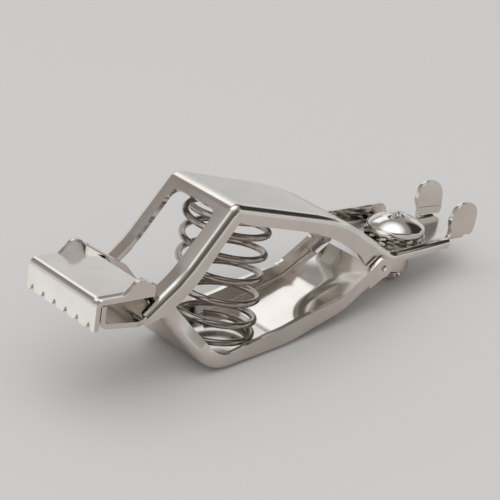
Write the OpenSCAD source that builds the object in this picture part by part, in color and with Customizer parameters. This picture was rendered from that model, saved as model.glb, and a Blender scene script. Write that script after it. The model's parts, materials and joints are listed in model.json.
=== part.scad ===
// Cross-action spring clip with a screw terminal and two cable ears.
// Two arms are folded from plated steel sheet. The upper arm runs down the front and becomes
// the lower jaw, and the lower arm runs up through a window in it and becomes the upper jaw.
// Squeezing the arms together against the coil spring opens the jaws.
//
// The arms are laid out in the clip's own plane: x from the shoulder towards the tail,
// z up from the terminal plate, y across. At the end the whole clip is tipped back until it
// stands on the lower arm and the end of its screw, over the centre of its own footprint.

/* [Sheet] */
// Thickness of the steel sheet
sheet = 0.6; // [0.5:0.05:0.7]
// Outside radius of the long folds between web and side flanges
fold_r = 0.95; // [0.8:0.05:1.1]
// Width over both side flanges at the hinge
arm_w = 11.7; // [11:0.1:12.2]
// Width over both side flanges at the shoulder and the elbow
pad_w = 12.4; // [12.3:0.1:12.8]
// Depth of the side flanges, from the outside of the web
flange_depth = 2.4; // [2:0.1:2.8]

/* [Upper arm] */
// Height of the shoulder above the terminal plate
shoulder_h = 9.85; // [9:0.05:10.5]
// Fall of the top behind the shoulder, in degrees
top_slope = 13.2; // [12:0.2:15]
// Length of the top, from the shoulder to the steeper part
top_run = 16.8; // [16:0.1:17.5]
// Fall of the steeper part that runs down to the terminal plate, in degrees
drop_slope = 32; // [30:0.5:34]
// Radius of the soft bend where the top grows steeper
knee_r = 25; // [10:1:30]
// Slope of the front leg below the shoulder, in degrees
leg_slope = 51; // [49:0.5:53]
// Slope of the foot of the front leg, in degrees
foot_slope = 39; // [37:0.5:41]
// Height of the break between leg and foot above the terminal plate
foot_h = 2.3; // [1.8:0.1:2.8]
// Outside radius of the shoulder
shoulder_r = 1.6; // [1.4:0.1:2]
// Width of the window in the front leg
window_w = 7.8; // [7.6:0.1:8.2]
// Sheet left between the shoulder and the window
window_top = 1.7; // [1.6:0.1:3]

/* [Lower arm] */
// Depth of the elbow below the terminal plate
elbow_drop = 10.6; // [10.2:0.1:11]
// Distance of the elbow in front of the shoulder
elbow_lead = 0.5; // [0.3:0.1:0.7]
// Slope of the tongue above the elbow, in degrees
tongue_slope = 49; // [48:0.5:50]
// Rise of the bottom behind the elbow, in degrees
bottom_slope = 8.3; // [7.5:0.1:9]
// Length of the bottom, from the elbow to its first bend
bottom_run = 10.4; // [9:0.1:12]
// Rise behind the first bend, in degrees
middle_slope = 17.2; // [16:0.1:18]
// Length from the elbow to the second bend
middle_run = 19.1; // [18.5:0.1:19.5]
// Rise behind the second bend, up to the hinge, in degrees
end_slope = 33.8; // [33:0.2:34.6]
// Outside radius of the elbow
elbow_r = 5; // [4:0.5:6]
// Width of the tongue that passes through the window
tongue_w = 7; // [6.6:0.1:7.2]

/* [Jaws] */
// Width of both jaws
jaw_w = 13; // [12.6:0.1:13.4]
// Distance from the shoulder to the front of the upper jaw
jaw_reach = 17.8; // [17:0.1:18.5]
// Height of the top of the upper jaw above the terminal plate
jaw_top = 1.4; // [1.2:0.1:1.6]
// Depth of the lower jaw's heel below the terminal plate
jaw_bottom = 2.55; // [2.4:0.05:2.7]
// Rise of the lower jaw from its heel to its lip
jaw_rise = 0.55; // [0.4:0.05:0.8]
// Depth of the upper jaw's lip below the terminal plate
lip_drop = 2.15; // [2:0.05:2.3]
// Spacing of the teeth
tooth_pitch = 2.16; // [2:0.02:2.4]
// Depth of the notches between the teeth
tooth_depth = 0.75; // [0.5:0.05:0.9]
// Number of notches along each lip
notch_count = 6; // [4:2:6]
// Gap between the two lips, and between lip and jaw, when the clip is shut
bite_gap = 0.12; // [0.1:0.02:0.2]
// Height of the rounded ears at the rear corners of the upper jaw
horn_h = 1.5; // [1.2:0.1:1.8]

/* [Hinge] */
// Distance from the shoulder to the hinge axis
hinge_x = 24.3; // [24.1:0.1:24.5]
// Depth of the hinge axis below the terminal plate
hinge_drop = 1.35; // [1.25:0.05:1.45]
// Radius of the pivots formed inwards on the lower arm
pivot_r = 0.65; // [0.55:0.05:0.7]
// Radial running clearance of the pivots in their holes
pivot_fit = 0.04; // [0.03:0.01:0.08]
// Clearance between the flanges of the two arms at the hinge
side_fit = 0.1; // [0.08:0.02:0.16]
// Radius of the hinge lugs
lug_r = 1.3; // [1.2:0.05:1.4]

/* [Terminal] */
// Distance from the shoulder to the screw
screw_x = 31; // [30.6:0.1:31.4]
// Major diameter of the screw
screw_d = 3.5; // [3:0.1:3.8]
// Diameter of the domed screw head
head_d = 7.2; // [6.8:0.1:7.4]
// Height of the domed screw head
head_h = 2.1; // [1.8:0.1:2.4]
// Length of the screw under its head
screw_len = 6; // [5.8:0.1:6.4]
// Radial clearance of the screw in its collar
screw_fit = 0.05; // [0.04:0.01:0.08]
// Thickness of the lock washer
washer_t = 0.5; // [0.4:0.05:0.6]
// Outside diameter of the lock washer
washer_d = 7.6; // [7.4:0.1:8]
// Teeth on the rim of the lock washer
washer_teeth = 14; // [10:1:16]
// Depth of the drawn collar under the terminal plate, from the plate's top
collar_h = 4.2; // [3.8:0.1:4.6]
// Outside diameter of the drawn collar
collar_d = 4.6; // [4.4:0.1:4.9]
// Distance from the shoulder to the end of the terminal plate
plate_end = 39.3; // [39:0.1:39.8]
// Width of the terminal plate at its end
plate_end_w = 7.6; // [7.3:0.1:7.9]
// Height of the cable ears above the terminal plate
ear_h = 4.5; // [4.2:0.1:5]
// Outward lean of the cable ears, in degrees
ear_lean = 5; // [2:1:12]
// How much further back the far cable ear stands than the near one
ear_stagger = 1.2; // [0.8:0.1:1.6]
// Height of the stop lip on one side of the terminal
stop_h = 2.05; // [1.8:0.05:2.2]

/* [Spring] */
// Wire diameter
wire_d = 0.8; // [0.7:0.05:0.9]
// Outside diameter of the coils
coil_d = 10.5; // [9.8:0.1:10.9]
// Distance from the shoulder to the spring's axis at its lower seat
spring_x = 3.5; // [3.3:0.1:4]
// How much further back the spring's axis is at its upper seat
spring_lean = 0.6; // [0:0.1:0.7]
// Number of turns, with the two closed end turns
turns = 6.7; // [6.2:0.1:8]

/* [Hidden] */

half_w = arm_w / 2;
pad_half = pad_w / 2;
// Inside of the lower arm's flanges leaves room for the upper arm at the hinge
nest_w = half_w - sheet - side_fit;
jaw_half = jaw_w / 2;
inner_fold_r = fold_r - sheet;
bend_step = 9;
station_step = 2.4;
fold_steps = 4;
// Half the stretch over which the flanges lean into a bend
lean_run = 1.7;
cut = 1;
lap = 0.3;

// Point of the lower arm's last slope at distance x, with z pointing down
function hinge_foot(x) = [x, second_bend[1] - (x - middle_run) * tan(end_slope)];

// Upper arm's outer line, from the jaw to the tail
knee = [top_run, shoulder_h - top_run * tan(top_slope)];
tail_bend = [knee[0] + knee[1] / tan(drop_slope), 0];
foot = [-(shoulder_h - foot_h) / tan(leg_slope), foot_h];
heel = [foot[0] - (foot_h + jaw_bottom - sheet) / tan(foot_slope), sheet - jaw_bottom];
channel_end = tail_bend[0] + 1.1;
foot_length = norm(heel - foot);

// Lower arm's outer line, given with z pointing down so that both arms fold the same way
elbow = [-elbow_lead, elbow_drop];
first_bend = [bottom_run, elbow_drop - (bottom_run - elbow[0]) * tan(bottom_slope)];
second_bend = [middle_run, first_bend[1] - (middle_run - bottom_run) * tan(middle_slope)];
lug_foot = hinge_foot(hinge_x - 0.8);
head_under = sheet - jaw_top;
neck_bend = [elbow[0] - (elbow_drop - head_under) / tan(tongue_slope), head_under];

hinge = [hinge_x, -hinge_drop];
hole_r = pivot_r + pivot_fit;
lip_back = -jaw_reach + sheet;
lower_lip = lip_back + bite_gap;
head_rear = neck_bend[0] + 0.2;

// ---- lines in the side view ----------------------------------------------------------------

function unit(v) = v / norm(v);
function left_of(v) = [-v[1], v[0]];
function right_of(v) = [v[1], -v[0]];
function turned(v, g) = [v[0] * cos(g) - v[1] * sin(g), v[0] * sin(g) + v[1] * cos(g)];

// Arc that rounds the corner b between a and c
function bend_points(a, b, c, r) =
    let (u = unit(b - a),
         v = unit(c - b),
         turn = atan2(u[0] * v[1] - u[1] * v[0], u * v),
         start = b - r * tan(abs(turn) / 2) * u,
         centre = start + sign(turn) * r * left_of(u),
         steps = max(1, ceil(abs(turn) / bend_step)))
    [for (i = [0 : steps]) centre + turned(start - centre, turn * i / steps)];

// Line through corners, with radii[i] at corners[i]
function rounded_line(corners, radii) =
    let (last = len(corners) - 1)
    concat(
        [corners[0]],
        [for (i = [1 : last - 1]) each bend_points(corners[i - 1], corners[i], corners[i + 1], radii[i])],
        [corners[last]]);

// Same line with its long straights divided
function divided(line) =
    concat(
        [for (i = [0 : len(line) - 2])
            let (steps = max(1, round(norm(line[i + 1] - line[i]) / station_step)))
            for (k = [0 : steps - 1]) line[i] + (line[i + 1] - line[i]) * k / steps],
        [line[len(line) - 1]]);

// Distance along the line at each of its points
function distances(line) =
    [for (i = 0, s = 0; i < len(line); i = i + 1, s = i < len(line) ? s + norm(line[i] - line[i - 1]) : s) s];

// Line moved sideways by d to its right
function moved(line, d) =
    let (last = len(line) - 1)
    [for (i = [0 : last])
        let (before = right_of(unit(line[max(i, 1)] - line[max(i, 1) - 1])),
             after = right_of(unit(line[min(i, last - 1) + 1] - line[min(i, last - 1)])),
             middle = unit(before + after))
        line[i] + d / (middle * before) * middle];

// Point of the lower arm with z pointing up again
function upright(p) = [p[0], -p[1]];

function reversed(list) = [for (i = [len(list) - 1 : -1 : 0]) list[i]];

// ---- sheet-metal forms ---------------------------------------------------------------------

// Half section points of the folded channel: [y, depth], near side, web and far side
function channel_section(w, depth) =
    let (flat = w - fold_r,
         a = [for (j = [0 : fold_steps]) 90 * j / fold_steps])
    concat(
        [[-w, depth]],
        [for (g = a) [-flat - fold_r * cos(g), fold_r - fold_r * sin(g)]],
        [for (g = a) [flat + fold_r * sin(g), fold_r - fold_r * cos(g)]],
        [[w, depth]],
        [[w - sheet, depth]],
        [for (g = a) [flat + inner_fold_r * cos(g), fold_r - inner_fold_r * sin(g)]],
        [for (g = a) [-flat - inner_fold_r * sin(g), fold_r - inner_fold_r * cos(g)]],
        [[-w + sheet, depth]]);

// Faces that close the end of a channel whose section has m points, outside against inside
function channel_end_faces(m) =
    [for (j = [0 : m / 2 - 2])
        each [[j, j + 1, m - 1 - j], [j + 1, m - 2 - j, m - 1 - j]]];

// Channel folded along an outer line. Half widths and flange depths are [x, value] tables.
module channel(line, widths, depths) {
    s = distances(line);
    along_x = [for (i = [0 : len(line) - 1]) [s[i], line[i][0]]];
    along_z = [for (i = [0 : len(line) - 1]) [s[i], line[i][1]]];
    function at(t) = [lookup(t, along_x), lookup(t, along_z)];
    rings = [
        for (i = [0 : len(line) - 1])
        let (leaned = right_of(unit(at(s[i] + lean_run) - at(s[i] - lean_run))),
             square_on = right_of(unit(at(s[i] + 0.05) - at(s[i] - 0.05))),
             stretch = 1 / max(0.7, leaned * square_on),
             depth = lookup(line[i][0], depths))
        [for (q = channel_section(lookup(line[i][0], widths), depth))
            let (n = q[1] == depth ? depth : q[1] * stretch, p = line[i] + n * leaned)
            [p[0], q[0], p[1]]]];
    m = len(rings[0]);
    last = len(rings) - 1;
    polyhedron(
        points = [for (r = rings) each r],
        faces = concat(
            [for (f = channel_end_faces(m)) reversed(f)],
            [for (i = [0 : last - 1]) for (j = [0 : m - 1])
                each [[i * m + j, i * m + (j + 1) % m, (i + 1) * m + j],
                      [i * m + (j + 1) % m, (i + 1) * m + (j + 1) % m, (i + 1) * m + j]]],
            [for (f = channel_end_faces(m)) [for (k = f) last * m + k]]),
        convexity = 8);
}

// Side-view shape drawn in x and z, given a width across the clip
module across(from, to) {
    translate([0, to, 0])
    rotate([90, 0, 0])
    linear_extrude(height = to - from, convexity = 6)
    children();
}

// Section drawn in y and z, run along the clip
module lengthwise(from, to) {
    translate([from, 0, 0])
    rotate([90, 0, 90])
    linear_extrude(height = to - from, convexity = 6)
    children();
}

// Strip of sheet bent along a line, with the sheet to the line's right
module strip(line, w) {
    across(-w, w)
    polygon(concat(line, reversed(moved(line, sheet))));
}

module rounded_rectangle(low, high, r) {
    translate([low[0] + r, low[1]]) square([high[0] - low[0] - 2 * r, high[1] - low[1]]);
    translate([low[0], low[1] + r]) square([high[0] - low[0], high[1] - low[1] - 2 * r]);
    for (x = [low[0] + r, high[0] - r])
        for (y = [low[1] + r, high[1] - r])
            translate([x, y]) circle(r = r, $fn = 48);
}

// Row of V notches cut up into an edge at height z, through the sheet around x
module notches(x, z, up) {
    for (i = [0 : notch_count - 1])
        translate([0, (i - (notch_count - 1) / 2) * tooth_pitch, z])
        lengthwise(x - cut, x + cut)
        polygon([[-0.62, -0.4 * up], [0.62, -0.4 * up], [0.12, tooth_depth * up], [-0.12, tooth_depth * up]]);
}

// ---- upper arm -----------------------------------------------------------------------------

foot_r = 12;
tail_r = 3;
upper_corners = [heel, foot, [0, shoulder_h], knee, tail_bend, [channel_end, 0]];
upper_line = rounded_line(upper_corners, [0, foot_r, shoulder_r, knee_r, tail_r, 0]);

upper_widths = [
    [heel[0], pad_half],
    [1, pad_half],
    [top_run, half_w],
    [top_run + 4, nest_w],
    [channel_end, nest_w]];

upper_depths = [
    [heel[0] + 0.1, fold_r + 0.1],
    [heel[0] + 0.6, flange_depth - 0.9],
    [heel[0] + 1.4, flange_depth - 0.3],
    [foot[0], flange_depth - 0.2],
    [-1.5, flange_depth - 0.6],
    [2, flange_depth - 0.2],
    [5, flange_depth - 0.3],
    [12, flange_depth - 0.3],
    [top_run, flange_depth],
    [hinge_x - 2.2, flange_depth + 0.1],
    [hinge_x - 0.8, flange_depth + 0.75],
    [hinge_x + 0.8, flange_depth + 0.75],
    [hinge_x + 1.6, flange_depth - 0.5],
    [channel_end, fold_r + 0.4]];

// Opening in the front leg, cut square to the leg above the foot and square to the foot below
module window() {
    upper_length = norm(foot - [0, shoulder_h]);
    translate([0, 0, shoulder_h])
    rotate([0, 180 - leg_slope, 0])
    translate([0, 0, -2 * cut])
    linear_extrude(height = 4 * cut)
    rounded_rectangle([window_top, -window_w / 2], [upper_length + 1.2, window_w / 2], 1.1);

    translate([foot[0], 0, foot[1]])
    rotate([0, 180 - foot_slope, 0])
    translate([0, 0, -2 * cut])
    linear_extrude(height = 4 * cut)
    rounded_rectangle([-1.2, -window_w / 2], [foot_length - 2, window_w / 2], 0.9);
}

module lower_jaw() {
    lip_top = -head_under - bite_gap;
    // Corners of the inner face: the sheet lies in front of the lip and under the plate
    inside = lower_lip + sheet;
    jaw_corners = [
        [inside, lip_top],
        [inside, heel[1] + jaw_rise],
        heel,
        heel + 0.6 * unit(foot - heel)];
    difference() {
        strip(rounded_line(jaw_corners, [0, inner_fold_r, 0.6, 0]), jaw_half);
        notches(lower_lip, lip_top, -1);
        // The plate draws in to the width of the leg
        for (side = [-1, 1])
            translate([heel[0] + 0.4, side * (jaw_half + 2), -jaw_bottom - cut])
            cylinder(r = 2 + jaw_half - pad_half, h = 4 * cut, $fn = 64);
    }
}

// Terminal plate seen from above: it narrows towards the cable ears
module plate_outline() {
    polygon([
        [channel_end - 1, -nest_w + fold_r],
        [channel_end + 1.2, -nest_w + 0.7],
        [plate_end, -plate_end_w / 2 + fold_r],
        [plate_end + ear_stagger, plate_end_w / 2 - fold_r],
        [screw_x + 3.2, plate_end_w / 2],
        [screw_x + 2.2, nest_w - fold_r],
        [channel_end - 1, nest_w - fold_r]]);
}

edge_depth = flange_depth - 1.2;

// Flange turned down along the near edge of the terminal plate
module edge_flange() {
    start = [channel_end - 0.2, -nest_w];
    end = [plate_end - 2.4, -plate_end_w / 2 - 0.25];
    heading = atan2(end[1] - start[1], end[0] - start[0]);
    translate([start[0], start[1], 0])
    rotate([0, 0, heading])
    intersection() {
        lengthwise(0, norm(end - start))
        fold_section(edge_depth);
        across(-cut, 3 * cut)
        rounded_rectangle([-cut, -edge_depth], [norm(end - start), flange_depth], 0.7);
    }
}

// Section of an edge folded down: a short run of plate, the fold and a flange of the given depth
module fold_section(depth) {
    difference() {
        union() {
            translate([fold_r, -fold_r]) square([lap, fold_r]);
            translate([fold_r, -fold_r]) circle(r = fold_r, $fn = 64);
            translate([0, -depth]) square([sheet, depth - fold_r]);
        }
        translate([fold_r, -fold_r]) circle(r = inner_fold_r, $fn = 64);
        translate([fold_r, -depth - cut]) square([2, depth + cut - fold_r]);
        translate([sheet, -depth - cut]) square([2, depth + cut - fold_r]);
        translate([fold_r, -fold_r - cut]) square([2, cut + inner_fold_r]);
    }
}

// Stop lip turned up on the far edge. Its level top starts from the slope of the arm.
module stop_lip() {
    from = channel_end - 0.3;
    to = screw_x + 2.6;
    intersection() {
        translate([0, nest_w, -sheet])
        lengthwise(from, to)
        mirror([0, 1])
        mirror([1, 0])
        fold_section(stop_h + sheet);
        across(nest_w - 3, nest_w + cut)
        union() {
            translate([from, -sheet]) square([to - from - 1.2, stop_h + sheet]);
            translate([to - 1.3, -sheet]) square([1.3, stop_h - 0.6]);
            translate([to - 1.2, stop_h - 1.2]) circle(r = 1.2, $fn = 48);
        }
    }
    across(nest_w - sheet, nest_w)
    polygon([
        [tail_bend[0] - stop_h / tan(drop_slope), stop_h],
        [from + lap, stop_h],
        [from + lap, -sheet / 2],
        [tail_bend[0] - stop_h / tan(drop_slope) + 0.5, stop_h - 1.2]]);
}

ear_r = 2.15;
ear_centre = [plate_end + 1.5 - ear_r, ear_h - ear_r];

// Cable ear turned up at the far rear corner of the plate, with a neck narrower than its round head
module cable_ear() {
    base = plate_end - 2.4;
    intersection() {
        translate([0, plate_end_w / 2, -sheet])
        lengthwise(base - 1, plate_end + 3)
        mirror([0, 1])
        mirror([1, 0])
        union() {
            fold_section(fold_r + 0.01);
            translate([sheet, -fold_r])
            rotate([0, 0, -ear_lean])
            translate([-sheet, -ear_h - sheet])
            square([sheet, ear_h + sheet]);
        }
        across(0, plate_end_w)
        union() {
            polygon([
                [base, -sheet],
                [plate_end, -sheet],
                [plate_end, 0.6],
                ear_centre + [ear_r, -0.2],
                ear_centre - [ear_r, 0],
                [base, 1]]);
            translate(ear_centre) circle(r = ear_r, $fn = 64);
        }
    }
}

module upper_arm() {
    color("silver")
    difference() {
        union() {
            difference() {
                channel(divided(upper_line), upper_widths, upper_depths);
                window();
            }
            lower_jaw();
            translate([0, 0, -sheet]) linear_extrude(height = sheet) plate_outline();
            edge_flange();
            stop_lip();
            translate([ear_stagger, 0, 0]) cable_ear();
            mirror([0, 1, 0]) cable_ear();
            translate([screw_x, 0, -collar_h]) cylinder(d = collar_d, h = collar_h, $fn = 96);
        }
        translate([screw_x, 0, -collar_h - cut])
        cylinder(r = screw_d / 2 + screw_fit, h = collar_h + 2 * cut, $fn = 96);
        translate([hinge_x, half_w + cut, -hinge_drop])
        rotate([90, 0, 0])
        cylinder(r = hole_r, h = arm_w + 2 * cut, $fn = 96);
    }
}

// ---- lower arm -----------------------------------------------------------------------------

web_end = hinge_x - 1.6;
tongue_gap = 0.35;
lower_corners = [neck_bend, elbow, first_bend, second_bend, lug_foot];
first_bend_r = 8;
second_bend_r = 6;
lower_line = rounded_line(lower_corners, [0, elbow_r, first_bend_r, second_bend_r, 0]);

lower_widths = [
    [neck_bend[0], tongue_w / 2],
    [-5.9, tongue_w / 2],
    [-1.6, pad_half - 0.2],
    [0.5, pad_half],
    [first_bend[0], pad_half],
    [second_bend[0], half_w + 0.1],
    [web_end - 1, half_w],
    [hinge_x, half_w]];

lower_depths = [
    [neck_bend[0], fold_r + 0.1],
    [neck_bend[0] + 1.4, flange_depth - 0.3],
    [-2, flange_depth - 0.4],
    [1.5, flange_depth - 0.5],
    [7, flange_depth + 0.1],
    [12, flange_depth + 0.4],
    [19, flange_depth - 0.1],
    [hinge_x, flange_depth]];

// Middle of the web, which runs on under the hinge between the flanges of the upper arm
module web_tongue() {
    outer = [upright(hinge_foot(web_end - lap)), upright(hinge_foot(hinge_x + 0.5))];
    half = nest_w - sheet - tongue_gap;
    across(-half, half)
    polygon(concat(outer, reversed(moved(outer, -sheet))));
}

// Lug that carries the inward pivot, with the dimple left outside by forming it
module hinge_lug() {
    difference() {
        union() {
            across(half_w - sheet, half_w)
            union() {
                translate(hinge) circle(r = lug_r, $fn = 96);
                polygon([
                    upright(hinge_foot(web_end - lap)) + [0, 0.3],
                    upright(hinge_foot(hinge_x + 0.45)) + [0, 0.1],
                    hinge + [lug_r, 0],
                    hinge + [0, lug_r],
                    hinge + [-0.9, lug_r - 0.35],
                    upright(hinge_foot(web_end - lap)) + [-0.6, flange_depth]]);
            }
            translate([hinge[0], half_w - sheet / 2, hinge[1]])
            rotate([90, 0, 0])
            cylinder(r = pivot_r, h = sheet * 1.5 + side_fit + 0.2, $fn = 96);
        }
        translate([hinge[0], half_w + cut, hinge[1]])
        rotate([90, 0, 0])
        cylinder(r = pivot_r - 0.25, h = cut + 0.45, $fn = 48);
    }
}

// Rounded ear folded up at a rear corner of the upper jaw, and the sheet that flares out from
// the tongue's flange to carry it
module jaw_horn() {
    horn_r = 1.3;
    crown = [head_rear - 1.9, jaw_top + horn_h - horn_r];
    across(jaw_half - sheet, jaw_half)
    union() {
        polygon([
            [head_rear - 4, jaw_top - sheet],
            [head_rear, jaw_top - sheet],
            [head_rear, jaw_top + 0.5],
            crown + horn_r * [cos(40), sin(40)],
            crown + horn_r * [cos(150), sin(150)],
            [head_rear - 4, jaw_top]]);
        intersection() {
            translate(crown) circle(r = horn_r, $fn = 64);
            translate([crown[0] - horn_r, jaw_top - sheet]) square(3 * horn_r);
        }
    }
    hull() {
        translate([head_rear - sheet, jaw_half - sheet, jaw_top - sheet])
        cube([sheet, sheet, sheet + 0.6]);
        translate([head_rear + 0.7, tongue_w / 2 - sheet, jaw_top - 2 * sheet])
        cube([sheet, sheet, 2 * sheet - 0.1]);
    }
}

module upper_jaw() {
    lip_low = -lip_drop;
    head_corners = [[-jaw_reach, lip_low], [-jaw_reach, jaw_top], [head_rear, jaw_top]];
    difference() {
        strip(rounded_line(head_corners, [0, fold_r, 0]), jaw_half);
        notches(-jaw_reach, lip_low, 1);
    }
    // Short bend from the head down into the web of the tongue
    inner_bend = [neck_bend[0] + sheet * tan(tongue_slope / 2), jaw_top];
    down = [cos(tongue_slope), -sin(tongue_slope)];
    strip(rounded_line([inner_bend - [3, 0], inner_bend, inner_bend + 2 * down], [0, 1.4, 0]),
          tongue_w / 2 - fold_r);
    jaw_horn();
    mirror([0, 1, 0]) jaw_horn();
}

module lower_arm() {
    color("lightgray") {
        difference() {
            mirror([0, 0, 1]) channel(divided(lower_line), lower_widths, lower_depths);
            // The web stops short of the hinge and leaves the two lugs
            translate([web_end, -half_w + sheet, -elbow_drop])
            cube([hinge_x - web_end, arm_w - 2 * sheet, elbow_drop + jaw_top]);
        }
        web_tongue();
        upper_jaw();
        hinge_lug();
        mirror([0, 1, 0]) hinge_lug();
    }
}

// ---- spring --------------------------------------------------------------------------------

wire_r = wire_d / 2;
coil_r = coil_d / 2 - wire_r;
// Direction in which the wire's lower end lies, seen from above
wire_start = 60;
wire_sides = 8;
steps_per_turn = 20;
seat_gap = 0.02;

// The end turns touch the arms in front and behind: below on the elbow's bend and the bottom,
// above on the leg under the shoulder and the top
wire_off = sheet + wire_r + seat_gap;
front_x = spring_x - coil_r;
back_x = spring_x + coil_r;
elbow_half = (tongue_slope + bottom_slope) / 2;
elbow_axis = 90 - (tongue_slope - bottom_slope) / 2;
elbow_centre = upright(elbow) + elbow_r / cos(elbow_half) * [cos(elbow_axis), sin(elbow_axis)];
floor_front = elbow_centre[1] - sqrt(pow(elbow_r - wire_off, 2) - pow(front_x - elbow_centre[0], 2));
floor_back = -elbow_drop + (back_x - elbow[0]) * tan(bottom_slope) + wire_off / cos(bottom_slope);
roof_front = shoulder_h + (front_x + spring_lean) * tan(leg_slope) - wire_off / cos(leg_slope);
roof_back = shoulder_h - (back_x + spring_lean) * tan(top_slope) - wire_off / cos(top_slope);

function between(x, front, back) = front + (back - front) * (x - front_x) / (back_x - front_x);

// Share of the height reached after a number of turns: the end turns lie on their seats
function coil_share(turn) =
    turn < 0.8 ? 0.052 * turn / 0.8 :
    turn > turns - 0.8 ? 1 - 0.052 * (turns - turn) / 0.8 :
    0.052 + 0.896 * (turn - 0.8) / (turns - 1.6);

// The spring is wound left-handed
function coil_point(turn) =
    let (x = spring_x + coil_r * cos(wire_start - 360 * turn),
         y = coil_r * sin(wire_start - 360 * turn),
         low = between(x, floor_front, floor_back),
         high = between(x, roof_front, roof_back),
         share = coil_share(turn))
    [x + spring_lean * share, y, low + (high - low) * share];

module spring() {
    count = turns * steps_per_turn;
    rings = [
        for (i = [0 : count])
        let (t = i / steps_per_turn,
             here = coil_point(t),
             ahead = unit(coil_point(t + 0.01) - coil_point(t - 0.01)),
             out = [cos(wire_start - 360 * t), sin(wire_start - 360 * t), 0],
             up = cross(ahead, out) / norm(cross(ahead, out)),
             side = cross(up, ahead))
        [for (j = [0 : wire_sides - 1])
            here + wire_r * (side * cos(360 * j / wire_sides) + up * sin(360 * j / wire_sides))]];
    color("dimgray")
    polyhedron(
        points = [for (r = rings) each r],
        faces = concat(
            [[for (j = [0 : wire_sides - 1]) j]],
            [for (i = [0 : count - 1]) for (j = [0 : wire_sides - 1])
                let (k = (j + 1) % wire_sides, a = i * wire_sides, b = a + wire_sides)
                each [[a + j, b + j, a + k], [a + k, b + j, b + k]]],
            [reversed([for (j = [0 : wire_sides - 1]) count * wire_sides + j])]),
        convexity = 10);
}

// ---- terminal screw and washer -------------------------------------------------------------

screw_chamfer = 0.4;

module terminal_screw() {
    under_head = washer_t;
    dome_r = (pow(head_d / 2, 2) + pow(head_h - 0.7, 2)) / (2 * (head_h - 0.7));
    color("gainsboro")
    translate([screw_x, 0, under_head])
    difference() {
        union() {
            cylinder(d = head_d, h = 0.7, $fn = 96);
            intersection() {
                cylinder(d = head_d, h = head_h, $fn = 96);
                translate([0, 0, head_h - dome_r]) sphere(r = dome_r, $fn = 96);
            }
            translate([0, 0, -screw_len + screw_chamfer]) cylinder(d = screw_d, h = screw_len, $fn = 96);
            translate([0, 0, -screw_len])
            cylinder(d1 = screw_d - 2 * screw_chamfer, d2 = screw_d, h = screw_chamfer, $fn = 96);
        }
        for (turn = [20, 110])
            rotate([0, 0, turn])
            translate([-1.9, -0.4, head_h - 1.3])
            cube([3.8, 0.8, 2]);
    }
}

module lock_washer() {
    color("gray")
    translate([screw_x, 0, 0])
    difference() {
        union() {
            cylinder(d = washer_d - 1.4, h = washer_t, $fn = 96);
            for (i = [0 : washer_teeth - 1])
                rotate([0, 0, 360 * i / washer_teeth])
                translate([washer_d / 2 - 1.2, -0.42, 0])
                cube([1.2, 0.84, washer_t]);
        }
        translate([0, 0, -cut]) cylinder(r = screw_d / 2 + 0.15, h = washer_t + 2 * cut, $fn = 96);
    }
}

// ---- placing -------------------------------------------------------------------------------

// Tip at which the screw's end and a bend of the lower arm reach the floor together
function tip_to(centre, r) =
    let (reach = screw_rim - centre)
    atan2(reach[1], reach[0]) + asin(r / norm(reach));

screw_rim = [screw_x + screw_d / 2 - screw_chamfer, washer_t - screw_len];
first_half = (middle_slope - bottom_slope) / 2;
first_axis = 90 + (middle_slope + bottom_slope) / 2;
first_centre = upright(first_bend) + first_bend_r / cos(first_half) * [cos(first_axis), sin(first_axis)];
rest_tilt = max(tip_to(elbow_centre, elbow_r), tip_to(first_centre, first_bend_r));

// Height and reach of a point of the clip once it is tipped back
function tipped(p) = [p[0] * cos(rest_tilt) + p[1] * sin(rest_tilt), p[1] * cos(rest_tilt) - p[0] * sin(rest_tilt)];

front_end = tipped([-jaw_reach, -lip_drop])[0];
rear_end = tipped(ear_centre + [ear_stagger, 0])[0] + ear_r;

module rested() {
    translate([-(front_end + rear_end) / 2, 0, -tipped(screw_rim)[1]])
    rotate([0, rest_tilt, 0])
    children();
}

rested() upper_arm();
rested() lower_arm();
rested() spring();
rested() terminal_screw();
rested() lock_washer();
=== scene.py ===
import json
import logging
import math
from dataclasses import dataclass, replace
from enum import Enum
from typing import Any

import bmesh
import bpy
from mathutils import Matrix, Vector


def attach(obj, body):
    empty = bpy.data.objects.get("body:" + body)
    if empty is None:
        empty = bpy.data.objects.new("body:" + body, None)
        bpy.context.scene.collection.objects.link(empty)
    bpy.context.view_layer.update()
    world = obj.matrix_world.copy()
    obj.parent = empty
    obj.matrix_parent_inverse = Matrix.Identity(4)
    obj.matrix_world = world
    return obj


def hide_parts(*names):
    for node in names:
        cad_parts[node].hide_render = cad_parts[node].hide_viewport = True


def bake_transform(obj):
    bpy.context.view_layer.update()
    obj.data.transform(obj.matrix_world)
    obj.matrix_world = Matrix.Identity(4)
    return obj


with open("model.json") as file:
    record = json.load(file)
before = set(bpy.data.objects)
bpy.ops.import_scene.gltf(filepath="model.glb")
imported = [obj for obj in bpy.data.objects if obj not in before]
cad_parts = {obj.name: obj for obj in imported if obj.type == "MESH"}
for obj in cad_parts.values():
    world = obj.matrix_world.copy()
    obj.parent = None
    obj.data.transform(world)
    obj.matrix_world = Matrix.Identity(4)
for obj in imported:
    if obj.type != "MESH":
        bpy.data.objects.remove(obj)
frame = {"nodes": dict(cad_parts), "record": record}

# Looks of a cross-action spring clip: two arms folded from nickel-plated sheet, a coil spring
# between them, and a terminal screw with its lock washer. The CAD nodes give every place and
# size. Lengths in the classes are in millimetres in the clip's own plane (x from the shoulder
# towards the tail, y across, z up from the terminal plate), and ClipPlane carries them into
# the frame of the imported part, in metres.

LOG = logging.getLogger("spring_clip")
MM = 0.001
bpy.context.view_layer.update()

# Sockets of the Mix node: its two numbers, its two colours and the mixed colour
MIX_NUMBERS = (2, 3)
MIX_COLORS = (6, 7)
MIX_COLOR_OUT = 2

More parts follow.
